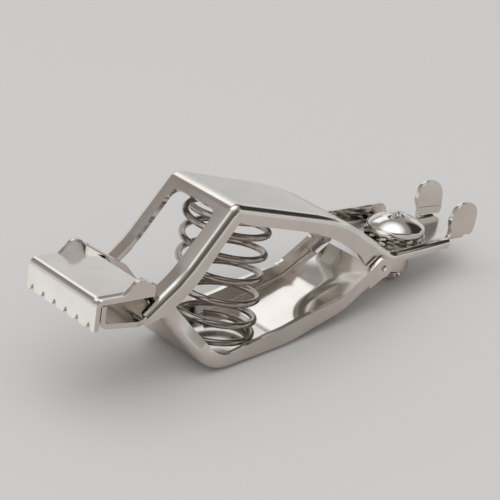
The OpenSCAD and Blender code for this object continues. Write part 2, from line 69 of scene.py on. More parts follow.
# Faces of a box whose corners are listed round its foot and then round its top
BOX_FACES = ((3, 2, 1, 0), (4, 5, 6, 7), (0, 1, 5, 4), (1, 2, 6, 5), (2, 3, 7, 6), (3, 0, 4, 7))

Color = tuple[float, float, float]
Span = tuple[float, float]


class Body(Enum):
    """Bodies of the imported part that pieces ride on."""

    UPPER_ARM = "upper_arm"
    LOWER_ARM = "lower_arm"
    WASHER = "lock_washer"
    SCREW = "terminal_screw"


class Slot(Enum):
    """Material slots of the record."""

    ARMS = "nickel_plate"
    SPRING = "spring_steel"
    SCREW = "screw_plate"
    WASHER = "washer_steel"


# ---- placing -------------------------------------------------------------------------------


@dataclass(frozen=True)
class ClipPlane:
    """The clip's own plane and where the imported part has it.

    The hinge's place and the screw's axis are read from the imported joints, so the plane
    follows the CAD if its resting tilt changes.
    """

    hinge_x: float = 24.3
    hinge_z: float = -1.35

    @staticmethod
    def _joint(name: str) -> dict[str, Any]:
        """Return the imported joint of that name.

        Args:
            name: the joint's name in the record.

        Returns:
            The joint's entry in behaviour.joints.
        """
        joints = frame["record"]["behaviour"]["joints"]
        return next(joint for joint in joints if joint["name"] == name)

    def tilt(self) -> float:
        """Return the resting tilt about Y in radians, read from the screw's axis."""
        axis = self._joint("screw_turn")["axis"]
        return math.atan2(axis[0], axis[2])

    def matrix(self) -> Matrix:
        """Return the way from the clip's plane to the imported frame.

        Returns:
            The matrix, from clip millimetres to metres.
        """
        turn = Matrix.Rotation(self.tilt(), 4, "Y")
        hinge = Vector(self._joint("arm_hinge")["pos_m"])
        hinge.y = 0.0
        move = hinge - turn @ (Vector((self.hinge_x, 0.0, self.hinge_z)) * MM)
        return Matrix.Translation(move) @ turn @ Matrix.Scale(MM, 4)

    def point(self, x: float, y: float, z: float) -> Vector:
        """Return a clip point, in millimetres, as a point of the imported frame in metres."""
        return self.matrix() @ Vector((x, y, z))


# ---- node helpers --------------------------------------------------------------------------


class NodeSheet:
    """Short calls for building a node tree, for materials and for geometry alike."""

    def __init__(self, tree: bpy.types.NodeTree) -> None:
        """Keep the tree that the calls add to."""
        self.tree = tree

    def add(self, kind: str, **settings: Any) -> bpy.types.Node:
        """Add a node.

        Args:
            kind: the node's bl_idname.
            **settings: attributes to set on the node.

        Returns:
            The new node.
        """
        node = self.tree.nodes.new(kind)
        for name, value in settings.items():
            setattr(node, name, value)
        return node

    def feed(self, socket: bpy.types.NodeSocket, value: Any) -> None:
        """Link or set an input.

        Args:
            socket: the input.
            value: an output socket to link, or a plain value.
        """
        if isinstance(value, bpy.types.NodeSocket):
            self.tree.links.new(value, socket)
        else:
            socket.default_value = value

    def math(self, operation: str, *values: Any) -> bpy.types.NodeSocket:
        """Add a Math node and return its output.

        Args:
            operation: the node's operation.
            *values: output sockets or numbers for its inputs.

        Returns:
            The node's value output.
        """
        node = self.add("ShaderNodeMath", operation=operation)
        for socket, value in zip(node.inputs, values):
            self.feed(socket, value)
        return node.outputs[0]

    def ramp(self, value: bpy.types.NodeSocket, low: Any, high: Any, to_low: Any = 0.0,
             to_high: Any = 1.0, shape: str = "LINEAR") -> bpy.types.NodeSocket:
        """Map a value from one range to another, clamped. Limits are numbers or outputs.

        Args:
            value: the value to map.
            low: where the result is to_low.
            high: where the result is to_high.
            to_low: first result.
            to_high: last result.
            shape: how the result runs between the two.

        Returns:
            The mapped value.
        """
        node = self.add("ShaderNodeMapRange", interpolation_type=shape)
        for name, number in (("Value", value), ("From Min", low), ("From Max", high),
                             ("To Min", to_low), ("To Max", to_high)):
            self.feed(node.inputs[name], number)
        return node.outputs[0]

    def vector(self, x: Any = 0.0, y: Any = 0.0, z: Any = 0.0) -> bpy.types.NodeSocket:
        """Join three numbers or outputs to a vector.

        Args:
            x: the first number.
            y: the second number.
            z: the third number.

        Returns:
            The vector.
        """
        node = self.add("ShaderNodeCombineXYZ")
        for socket, value in zip(node.inputs, (x, y, z)):
            self.feed(socket, value)
        return node.outputs["Vector"]

    def mixed(self, factor: Any, first: Any, second: Any) -> bpy.types.NodeSocket:
        """Mix two colours, each a triple of numbers or an output.

        Args:
            factor: the share of the second colour.
            first: the first colour.
            second: the second colour.

        Returns:
            The mixed colour.
        """
        node = self.add("ShaderNodeMix", data_type="RGBA")
        self.feed(node.inputs["Factor"], factor)
        for index, color in zip(MIX_COLORS, (first, second)):
            linked = isinstance(color, bpy.types.NodeSocket)
            self.feed(node.inputs[index], color if linked else (*color, 1.0))
        return node.outputs[MIX_COLOR_OUT]

    def noise(self, place: bpy.types.NodeSocket, scale: float, detail: float) -> bpy.types.NodeSocket:
        """Add a Noise Texture node.

        Args:
            place: where the noise is looked up.
            scale: marks per unit of length.
            detail: how many finer layers it has.

        Returns:
            The noise, from 0 to 1.
        """
        node = self.add("ShaderNodeTexNoise")
        self.feed(node.inputs["Vector"], place)
        node.inputs["Scale"].default_value = scale
        node.inputs["Detail"].default_value = detail
        return node.outputs[0]

    def bump(self, height: bpy.types.NodeSocket, distance: float,
             under: bpy.types.NodeSocket | None = None) -> bpy.types.NodeSocket:
        """Raise the surface by a height.

        Args:
            height: the height, from 0 to 1.
            distance: what a height of 1 is, in metres.
            under: the normal of the bump under this one, if there is one.

        Returns:
            The new normal.
        """
        node = self.add("ShaderNodeBump")
        node.inputs["Strength"].default_value = 1.0
        node.inputs["Distance"].default_value = distance
        self.feed(node.inputs["Height"], height)
        if under is not None:
            self.feed(node.inputs["Normal"], under)
        return node.outputs["Normal"]

    def glossy(self) -> bpy.types.NodeSocket:
        """Return 1 for a ray that something shiny has mirrored, and 0 for any other."""
        return self.add("ShaderNodeLightPath").outputs["Is Glossy Ray"]


def blank_sheet(owner: bpy.types.Material | bpy.types.World) -> NodeSheet:
    """Empty a node tree, ready to build in.

    Args:
        owner: the material or world that has the tree.

    Returns:
        The empty tree.
    """
    owner.use_nodes = True
    owner.node_tree.nodes.clear()
    return NodeSheet(owner.node_tree)


def placed(name: str, data: bpy.types.ID) -> bpy.types.Object:
    """Make an object and link it to the scene.

    Args:
        name: the object's name.
        data: its mesh, lamp or camera.

    Returns:
        The object.
    """
    thing = bpy.data.objects.new(name, data)
    bpy.context.scene.collection.objects.link(thing)
    return thing


class GeometryRecipe(NodeSheet):
    """A Geometry Nodes tree with named inputs, baked to a plain mesh."""

    def __init__(self, name: str) -> None:
        """Start an empty tree with a geometry output.

        Args:
            name: the tree's name.
        """
        tree = bpy.data.node_groups.new(name, "GeometryNodeTree")
        tree.interface.new_socket("Geometry", in_out="OUTPUT", socket_type="NodeSocketGeometry")
        super().__init__(tree)
        self.given = self.add("NodeGroupInput")
        self.result = self.add("NodeGroupOutput")
        self.values: dict[str, Any] = {}

    def size(self, name: str, value: Any, kind: str = "NodeSocketFloat") -> bpy.types.NodeSocket:
        """Add a named input and remember the value it gets.

        Args:
            name: the input's name.
            value: the value for this piece.
            kind: the socket's type.

        Returns:
            The input as an output socket of the Group Input node.
        """
        socket = self.tree.interface.new_socket(name, in_out="INPUT", socket_type=kind)
        self.values[socket.identifier] = value
        return self.given.outputs[name]

    def finish(self, geometry: bpy.types.NodeSocket, material: bpy.types.Material) -> None:
        """End the tree in Realize Instances and Set Material.

        Args:
            geometry: the geometry to give out.
            material: the material it wears.
        """
        worn = self.size("Material", material, "NodeSocketMaterial")
        real = self.add("GeometryNodeRealizeInstances")
        dress = self.add("GeometryNodeSetMaterial")
        self.feed(real.inputs["Geometry"], geometry)
        self.feed(dress.inputs["Geometry"], real.outputs["Geometry"])
        self.feed(dress.inputs["Material"], worn)
        self.feed(self.result.inputs["Geometry"], dress.outputs["Geometry"])

    def bake(self, name: str) -> bpy.types.Mesh:
        """Evaluate the tree on an empty mesh and return the result as a plain mesh.

        Args:
            name: the new mesh's name.

        Returns:
            The baked mesh, in the tree's own units.
        """
        carrier = placed(name + "_carrier", bpy.data.meshes.new(name + "_carrier"))
        modifier = carrier.modifiers.new("recipe", "NODES")
        modifier.node_group = self.tree
        for identifier, value in self.values.items():
            modifier[identifier] = value
        mesh = baked(carrier, name)
        bpy.data.objects.remove(carrier)
        return mesh


def baked(source: bpy.types.Object, name: str) -> bpy.types.Mesh:
    """Return an object's evaluated shape as a plain mesh.

    Args:
        source: the object, with its modifiers live.
        name: the new mesh's name.

    Returns:
        The plain mesh.
    """
    graph = bpy.context.evaluated_depsgraph_get()
    graph.update()
    mesh = bpy.data.meshes.new_from_object(source.evaluated_get(graph), depsgraph=graph)
    mesh.name = name
    source.modifiers.clear()
    return mesh


def piece(name: str, mesh: bpy.types.Mesh, material: bpy.types.Material) -> bpy.types.Object:
    """Make an object of a finished mesh, at the origin.

    Args:
        name: the object's name.
        mesh: its mesh, already in its place.
        material: the material it wears.

    Returns:
        The object.
    """
    thing = placed(name, mesh)
    mesh.materials.clear()
    mesh.materials.append(material)
    return thing


# ---- finishes ------------------------------------------------------------------------------


@dataclass(frozen=True)
class PressedDish:
    """A shallow round hollow left in the sheet by folding, seen only in what it mirrors.

    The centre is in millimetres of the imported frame, and the hollow ends at the flange.
    """

    centre: Span = (5.5, -5.5)
    inner: float = 4.0
    outer: float = 5.8
    depth: float = 0.16
    side: Span = (-6.0, -5.4)

    def height(self, sheet: NodeSheet, place: bpy.types.NodeSocket) -> bpy.types.NodeSocket:
        """Add the hollow's height, from 0 inside it to 1 outside.

        Args:
            sheet: the material's node tree.
            place: Object coordinates.

        Returns:
            The height.
        """
        parts = sheet.add("ShaderNodeSeparateXYZ")
        sheet.feed(parts.inputs[0], place)
        away = [sheet.math("SUBTRACT", parts.outputs[k], self.centre[k] * MM) for k in (0, 1)]
        squares = [sheet.math("MULTIPLY", value, value) for value in away]
        reach = sheet.math("SQRT", sheet.math("ADD", *squares))
        slope = sheet.ramp(reach, self.inner * MM, self.outer * MM, shape="SMOOTHSTEP")
        inside = sheet.ramp(parts.outputs["Y"], self.side[0] * MM, self.side[1] * MM)
        return sheet.math("MULTIPLY", slope, inside)


@dataclass(frozen=True)
class PlatedFinish:
    """Plated or drawn steel with uneven brightness, a wavy skin and fine grain.

    Scales are in marks per metre on Object coordinates, depths in metres, and a span is the
    part of the noise over which its effect grows.
    """

    name: str
    color: Color
    shade: Color
    roughness: Span
    ripple_scale: float = 260.0
    ripple_detail: float = 3.0
    ripple_span: Span = (0.35, 0.7)
    ripple_depth: float = 0.000012
    grain_scale: float = 9000.0
    grain_detail: float = 4.0
    grain_span: Span = (0.3, 0.7)
    grain_depth: float = 0.0000012
    dish: PressedDish | None = None

    def material(self) -> bpy.types.Material:
        """Build the material.

        Returns:
            The procedural material.
        """
        made = bpy.data.materials.new(self.name)
        sheet = blank_sheet(made)
        place = sheet.add("ShaderNodeTexCoord").outputs["Object"]
        cloud = sheet.noise(place, self.ripple_scale, self.ripple_detail)
        tone = sheet.mixed(sheet.ramp(cloud, *self.ripple_span), self.color, self.shade)
        grain = sheet.noise(place, self.grain_scale, self.grain_detail)

        hollow = None
        if self.dish is not None:
            hollow = sheet.bump(self.dish.height(sheet, place), self.dish.depth * MM)
        skin = sheet.bump(cloud, self.ripple_depth, hollow)

        metal = sheet.add("ShaderNodeBsdfPrincipled")
        metal.inputs["Metallic"].default_value = 1.0
        sheet.feed(metal.inputs["Base Color"], tone)
        sheet.feed(metal.inputs["Roughness"], sheet.ramp(grain, *self.grain_span, *self.roughness))
        sheet.feed(metal.inputs["Normal"], sheet.bump(grain, self.grain_depth, skin))
        out = sheet.add("ShaderNodeOutputMaterial")
        sheet.feed(out.inputs["Surface"], metal.outputs["BSDF"])
        return made


NICKEL = PlatedFinish("bright_nickel", (0.80, 0.776, 0.744), (0.73, 0.705, 0.67), (0.1, 0.17))
DISHED_NICKEL = replace(NICKEL, name="dished_nickel", dish=PressedDish())
WIRE = PlatedFinish("drawn_wire", (0.48, 0.44, 0.405), (0.34, 0.305, 0.275), (0.12, 0.2),
                    ripple_scale=700.0, grain_depth=0.000002)
HEAD = PlatedFinish("polished_screw", (0.82, 0.81, 0.80), (0.76, 0.75, 0.73), (0.06, 0.12),
                    ripple_scale=500.0, ripple_depth=0.000006)
ZINC = PlatedFinish("dull_zinc", (0.82, 0.775, 0.71), (0.72, 0.665, 0.59), (0.38, 0.5))


# ---- arms ----------------------------------------------------------------------------------


@dataclass(frozen=True)
class SquaredEar:
    """Squares the lower rear quarter of a round cable ear, so it keeps its width to the plate.

    Lengths are in millimetres of the clip's plane, and side is -1 for the near ear. Points
    closer to the plate's end than margin stay, and so do those below lowest of the radius.
    """

    side: int
    plate_end: float
    back: float = 0.65
    centre_z: float = 2.35
    radius: float = 2.15
    power: float = 5.0
    stretch: float = 1.15
    margin: float = 0.02
    lowest: float = 0.99

    def moved(self, spot: Vector) -> Vector | None:
        """Return where a point of the ear's edge goes.

        Args:
            spot: the point, in the clip's plane.

        Returns:
            Its new place in the clip's plane, or None if it isn't on the quarter.
        """
        drop = (self.centre_z - spot.z) / self.radius
        if spot.y * self.side < 0 or spot.x < self.plate_end + self.margin:
            return None
        if not 0.0 < drop < self.lowest:
            return None
        reach = self.radius * (1.0 - drop ** self.power) ** (1.0 / self.power)
        return Vector((self.plate_end - self.back + reach, spot.y,
                       self.centre_z - self.radius * drop * self.stretch))


EARS = (SquaredEar(-1, 39.3), SquaredEar(1, 40.5))


@dataclass
class FoldedArm:
    """An arm of folded sheet: the CAD solid with rolled edges and smooth folds."""

    node: str
    body: Body
    finish: PlatedFinish
    ears: tuple[SquaredEar, ...] = ()
    edge_radius: float = 0.07
    edge_segments: int = 2
    edge_angle: float = 33.0
    flat_angle: float = 0.6
    weld: float = 0.0004
    normal_weight: int = 50

    def _square_ears(self, form: bmesh.types.BMesh, plane: ClipPlane) -> int:
        """Move the points of the arm's ears that get squared.

        Args:
            form: the arm's mesh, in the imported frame.
            plane: the clip's plane.

        Returns:
            How many points moved.
        """
        back = plane.matrix().inverted()
        count = 0
        for vert in form.verts:
            spot = back @ vert.co
            for ear in self.ears:
                place = ear.moved(spot)
                if place is not None:
                    vert.co = plane.matrix() @ place
                    count += 1
        return count

    def _welded(self, plane: ClipPlane) -> bpy.types.Mesh:
        """Return a merged copy of the CAD mesh with its flat faces joined.

        Args:
            plane: the clip's plane.

        Returns:
            The merged mesh.
        """
        mesh = frame["nodes"][self.node].data.copy()
        mesh.name = self.node + "_sheet"
        form = bmesh.new()
        form.from_mesh(mesh)
        bmesh.ops.remove_doubles(form, verts=form.verts, dist=self.weld * MM)
        bmesh.ops.dissolve_limit(form, angle_limit=math.radians(self.flat_angle),
                                 verts=form.verts, edges=form.edges)
        LOG.info("%s: %d points of its ears squared", self.node, self._square_ears(form, plane))
        for face in form.faces:
            face.smooth = True
        form.to_mesh(mesh)
        form.free()
        return mesh

    def build(self, plane: ClipPlane) -> bpy.types.Object:
        """Build the arm and put it on its body.

        Args:
            plane: the clip's plane.

        Returns:
            The finished piece.
        """
        rough = placed(self.node + "_rough", self._welded(plane))
        roll = rough.modifiers.new("edges", "BEVEL")
        roll.width = self.edge_radius * MM
        roll.segments = self.edge_segments
        roll.limit_method = "ANGLE"
        roll.angle_limit = math.radians(self.edge_angle)
        roll.use_clamp_overlap = True
        even = rough.modifiers.new("normals", "WEIGHTED_NORMAL")
        even.mode = "FACE_AREA"
        even.weight = self.normal_weight
        mesh = baked(rough, self.node + "_plated")
        bpy.data.objects.remove(rough)
        arm = piece(self.node + "_plated", mesh, self.finish.material())
        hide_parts(self.node)
        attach(arm, self.body.value)
        return arm


# ---- spring --------------------------------------------------------------------------------


@dataclass
class CoilSpring:
    """The coil spring, wound left-handed between its two seats by Geometry Nodes.

    The low and high values are the heights of the wire's middle at the front and the back of
    the two seats. The first and last seat_turns rise by seat_share of the height each.
    """

    axis_x: float = 3.5
    lean: float = 0.6
    mean_radius: float = 4.85
    wire_radius: float = 0.4
    turns: float = 6.7
    start_degrees: float = 60.0
    seat_turns: float = 0.8
    seat_share: float = 0.052
    low_front: float = -8.0551
    low_back: float = -8.2781
    high_front: float = 7.303
    high_back: float = 6.7031
    samples_per_turn: int = 64
    sides: int = 20

    def _path(self, recipe: GeometryRecipe) -> bpy.types.NodeSocket:
        """Add the wire's centre line to the recipe.

        Args:
            recipe: the tree to add to.

        Returns:
            The centre line as a curve.
        """
        turns = recipe.size("Turns", self.turns)
        radius = recipe.size("Mean Radius", self.mean_radius)
        axis_x = recipe.size("Axis X", self.axis_x)
        lean = recipe.size("Lean", self.lean)
        samples = recipe.size("Samples Per Turn", self.samples_per_turn, "NodeSocketInt")
        seat_turns = recipe.size("Seat Turns", self.seat_turns)
        seat_share = recipe.size("Seat Share", self.seat_share)
        ends = [recipe.size(name, value) for name, value in (
            ("Low Front", self.low_front), ("Low Back", self.low_back),
            ("High Front", self.high_front), ("High Back", self.high_back))]

        steps = recipe.math("MULTIPLY", turns, samples)
        line = recipe.add("GeometryNodeMeshLine")
        recipe.feed(line.inputs["Count"], recipe.math("ADD", steps, 1.0))
        turn = recipe.math("DIVIDE", recipe.add("GeometryNodeInputIndex").outputs[0], samples)
        angle = recipe.math("SUBTRACT", math.radians(self.start_degrees),
                            recipe.math("MULTIPLY", turn, math.tau))
        out = recipe.math("MULTIPLY", recipe.math("COSINE", angle), radius)
        side = recipe.math("MULTIPLY", recipe.math("SINE", angle), radius)
        share_back = recipe.math("MULTIPLY_ADD", recipe.math("DIVIDE", out, radius), 0.5, 0.5)
        low = recipe.ramp(share_back, 0.0, 1.0, ends[0], ends[1])
        high = recipe.ramp(share_back, 0.0, 1.0, ends[2], ends[3])

        last = recipe.math("SUBTRACT", turns, seat_turns)
        middle_share = recipe.math("MULTIPLY_ADD", seat_share, -2.0, 1.0)
        first, middle, final = (recipe.ramp(turn, begin, end, 0.0, amount) for begin, end, amount in (
            (0.0, seat_turns, seat_share), (seat_turns, last, middle_share), (last, turns, seat_share)))
        share = recipe.math("ADD", recipe.math("ADD", first, middle), final)
        height = recipe.math("MULTIPLY_ADD", recipe.math("SUBTRACT", high, low), share, low)

        middle_x = recipe.math("MULTIPLY_ADD", share, lean, axis_x)
        place = recipe.vector(recipe.math("ADD", out, middle_x), side, height)
        moved = recipe.add("GeometryNodeSetPosition")
        recipe.feed(moved.inputs["Geometry"], line.outputs["Mesh"])
        recipe.feed(moved.inputs["Position"], place)
        curve = recipe.add("GeometryNodeMeshToCurve")
        recipe.feed(curve.inputs["Mesh"], moved.outputs["Geometry"])
        return curve.outputs["Curve"]

    def build(self, plane: ClipPlane, finish: PlatedFinish) -> bpy.types.Object:
        """Wind the spring between the two arms.

        Args:
            plane: the clip's plane.
            finish: the wire's finish.

        Returns:
            The finished piece.
        """
        recipe = GeometryRecipe("coil_spring")
        wire = recipe.size("Wire Radius", self.wire_radius)
        path = self._path(recipe)
        section = recipe.add("GeometryNodeCurvePrimitiveCircle")
        section.inputs["Resolution"].default_value = self.sides
        recipe.feed(section.inputs["Radius"], wire)
        tube = recipe.add("GeometryNodeCurveToMesh")
        recipe.feed(tube.inputs["Curve"], path)
        recipe.feed(tube.inputs["Profile Curve"], section.outputs["Curve"])
        tube.inputs["Fill Caps"].default_value = True
        smooth = recipe.add("GeometryNodeSetShadeSmooth")
        recipe.feed(smooth.inputs["Geometry"], tube.outputs["Mesh"])
        material = finish.material()
        recipe.finish(smooth.outputs["Geometry"], material)
        mesh = recipe.bake("spring_coils")
        mesh.transform(plane.matrix())
        spring = piece("spring_coils", mesh, material)
        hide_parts("spring")
        top = plane.point(self.axis_x, 0.0, (self.high_front + self.high_back) / 2)
        bottom = plane.point(self.axis_x, 0.0, (self.low_front + self.low_back) / 2)
        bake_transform(spring)
        return spring


# ---- terminal ------------------------------------------------------------------------------


@dataclass
class TerminalScrew:
    """Domed pan-head screw with a cross recess and a cut thread.

    rim_edge lists how far in and how far down from the rim's top its last two points lie. The
    recess starts recess_over above the head and is scaled by recess_foot at its floor and by
    recess_mouth at its top, its wings' width only by recess_taper of that. The shank reaches
    shank_lap up into the head.
    """

    axis_x: float = 31.0
    seat_z: float = 0.5
    head_radius: float = 3.6
    rim_height: float = 0.7
    head_height: float = 2.1
    rim_round: float = 0.16
    rim_edge: tuple[Span, Span] = ((0.0, 0.1), (0.02, 0.03))
    rim_steps: int = 4
    dome_steps: int = 22
    dome_share: float = 0.985
    recess_reach: float = 1.9
    recess_width: float = 0.8
    recess_depth: float = 1.3
    recess_turn: float = 20.0
    recess_over: float = 0.4
    recess_foot: float = 0.62
    recess_mouth: float = 1.06
    recess_taper: float = 0.2
    edge_radius: float = 0.05
    edge_angle: float = 35.0
    crease_angle: float = 32.0
    length: float = 6.0
    shank_lap: float = 0.15
    thread_radius: float = 1.75
    thread_depth: float = 0.3
    thread_flank: Span = (0.06, 0.42)
    thread_deepest: float = 1.3
    point_length: float = 0.5
    pitch: float = 0.6
    facets: int = 128
    shank_facets: int = 72
    shank_steps: int = 120

    def _head_profile(self) -> list[tuple[float, float]]:
        """Work out the head's outline.

        Returns:
            Its points, radius and height, from under the head to its crown.
        """
        rise = self.head_height - self.rim_height
        dome = (self.head_radius ** 2 + rise ** 2) / (2 * rise)
        rim_angle = math.asin(self.head_radius / dome)
        outline = [(0.0, 0.0)]
        for step in range(self.rim_steps + 1):
            turn = math.radians(-90 + 90 * step / self.rim_steps)
            outline.append((self.head_radius - self.rim_round + self.rim_round * math.cos(turn),
                            self.rim_round + self.rim_round * math.sin(turn)))
        outline += [(self.head_radius - inward, self.rim_height - down) for inward, down in self.rim_edge]
        for step in range(self.dome_steps + 1):
            turn = rim_angle * self.dome_share * (1 - step / self.dome_steps)
            outline.append((dome * math.sin(turn), self.head_height - dome + dome * math.cos(turn)))
        outline[-1] = (0.0, self.head_height)
        return outline

    def _head(self) -> bpy.types.Object:
        """Turn the outline round the screw's axis.

        Returns:
            The head, before its recess is cut.
        """
        form = bmesh.new()
        angles = [math.tau * k / self.facets for k in range(self.facets)]
        rings = []
        for radius, height in self._head_profile():
            around = angles if radius else angles[:1]
            rings.append([form.verts.new((radius * math.cos(angle), radius * math.sin(angle), height))
                          for angle in around])
        for low, high in zip(rings, rings[1:]):
            for k in range(self.facets):
                after = (k + 1) % self.facets
                corners = ([low[k], low[after]] if len(low) > 1 else [low[0]]) + \
                          ([high[after], high[k]] if len(high) > 1 else [high[0]])
                form.faces.new(corners)
        bmesh.ops.recalc_face_normals(form, faces=form.faces)
        mesh = bpy.data.meshes.new("screw_head")
        form.to_mesh(mesh)
        form.free()
        return placed("screw_head", mesh)

    def _recess(self) -> bpy.types.Object:
        """Make the cutter for the cross recess.

        Returns:
            The cutter, two crossed wings that get smaller towards the floor.
        """
        form = bmesh.new()
        top = self.head_height + self.recess_over
        low = self.head_height - self.recess_depth
        for quarter in (0, 1):
            turn = Matrix.Rotation(quarter * math.pi / 2, 3, "Z")
            corners = []
            for height, grow in ((low, self.recess_foot), (top, self.recess_mouth)):
                reach = self.recess_reach * grow
                half = self.recess_width / 2 * (1 - self.recess_taper + self.recess_taper * grow)
                for sx, sy in ((-1, -1), (1, -1), (1, 1), (-1, 1)):
                    corners.append(form.verts.new(turn @ Vector((sx * reach, sy * half, height))))
            for face in BOX_FACES:
                form.faces.new([corners[k] for k in face])
        mesh = bpy.data.meshes.new("recess")
        form.to_mesh(mesh)
        form.free()
        cutter = placed("recess", mesh)
        cutter.rotation_euler.z = math.radians(self.recess_turn)
        return cutter

    def _thread(self, material: bpy.types.Material) -> bpy.types.Mesh:
        """Return the threaded shank, made by Geometry Nodes from a plain cylinder.

        Args:
            material: the material it wears.

        Returns:
            The shank's mesh, running down from under the head.
        """
        recipe = GeometryRecipe("screw_thread")
        major = recipe.size("Major Radius", self.thread_radius)
        depth = recipe.size("Thread Depth", self.thread_depth)
        pitch = recipe.size("Pitch", self.pitch)
        length = recipe.size("Length", self.length)
        bar = recipe.add("GeometryNodeMeshCylinder")
        bar.inputs["Vertices"].default_value = self.shank_facets
        bar.inputs["Side Segments"].default_value = self.shank_steps
        recipe.feed(bar.inputs["Radius"], major)
        recipe.feed(bar.inputs["Depth"], length)
        parts = recipe.add("ShaderNodeSeparateXYZ")
        recipe.feed(parts.inputs[0], recipe.add("GeometryNodeInputPosition").outputs[0])
        x, y, z = parts.outputs
        angle = recipe.math("ARCTAN2", y, x)
        phase = recipe.math("FRACT", recipe.math("SUBTRACT", recipe.math("DIVIDE", z, pitch),
                                                 recipe.math("DIVIDE", angle, math.tau)))
        flank = recipe.math("ABSOLUTE", recipe.math("SUBTRACT", phase, 0.5))
        cut = recipe.ramp(flank, *self.thread_flank)
        above = recipe.math("ADD", z, recipe.math("MULTIPLY", length, 0.5))
        point = recipe.ramp(above, 0.0, self.point_length, 1.0, 0.0)
        inward = recipe.math("MINIMUM", recipe.math("ADD", cut, point), self.thread_deepest)
        radius = recipe.math("SUBTRACT", major, recipe.math("MULTIPLY", inward, depth))
        place = recipe.vector(recipe.math("MULTIPLY", recipe.math("COSINE", angle), radius),
                              recipe.math("MULTIPLY", recipe.math("SINE", angle), radius), z)
        moved = recipe.add("GeometryNodeSetPosition")
        recipe.feed(moved.inputs["Geometry"], bar.outputs["Mesh"])
        recipe.feed(moved.inputs["Position"], place)
        recipe.finish(moved.outputs["Geometry"], material)
        mesh = recipe.bake("screw_thread")
        mesh.transform(Matrix.Translation((0.0, 0.0, self.shank_lap - self.length / 2)))
        return mesh

    def build(self, plane: ClipPlane, finish: PlatedFinish) -> bpy.types.Object:
        """Build the screw and put it on its body.

        Args:
            plane: the clip's plane.
            finish: the screw's finish.

        Returns:
            The finished piece.
        """
        material = finish.material()
        head, recess = self._head(), self._recess()
        cut = head.modifiers.new("recess", "BOOLEAN")
        cut.operation = "DIFFERENCE"
        cut.solver = "EXACT"
        cut.object = recess
        cut.use_self = True
        soften = head.modifiers.new("edges", "BEVEL")
        soften.width = self.edge_radius
        soften.segments = 2
        soften.limit_method = "ANGLE"
        soften.angle_limit = math.radians(self.edge_angle)
        mesh = baked(head, "terminal_screw_bright")
        for old in (head, recess):
            bpy.data.objects.remove(old)
        form = bmesh.new()
        form.from_mesh(mesh)
        form.from_mesh(self._thread(material))
        for face in form.faces:
            face.smooth = True
        for edge in form.edges:
            if len(edge.link_faces) == 2 and edge.calc_face_angle() > math.radians(self.crease_angle):
                edge.smooth = False
        form.to_mesh(mesh)
        form.free()
        mesh.transform(plane.matrix() @ Matrix.Translation((self.axis_x, 0.0, self.seat_z)))
        screw = piece("terminal_screw_bright", mesh, material)
        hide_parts("terminal_screw")
        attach(screw, Body.SCREW.value)
        return screw


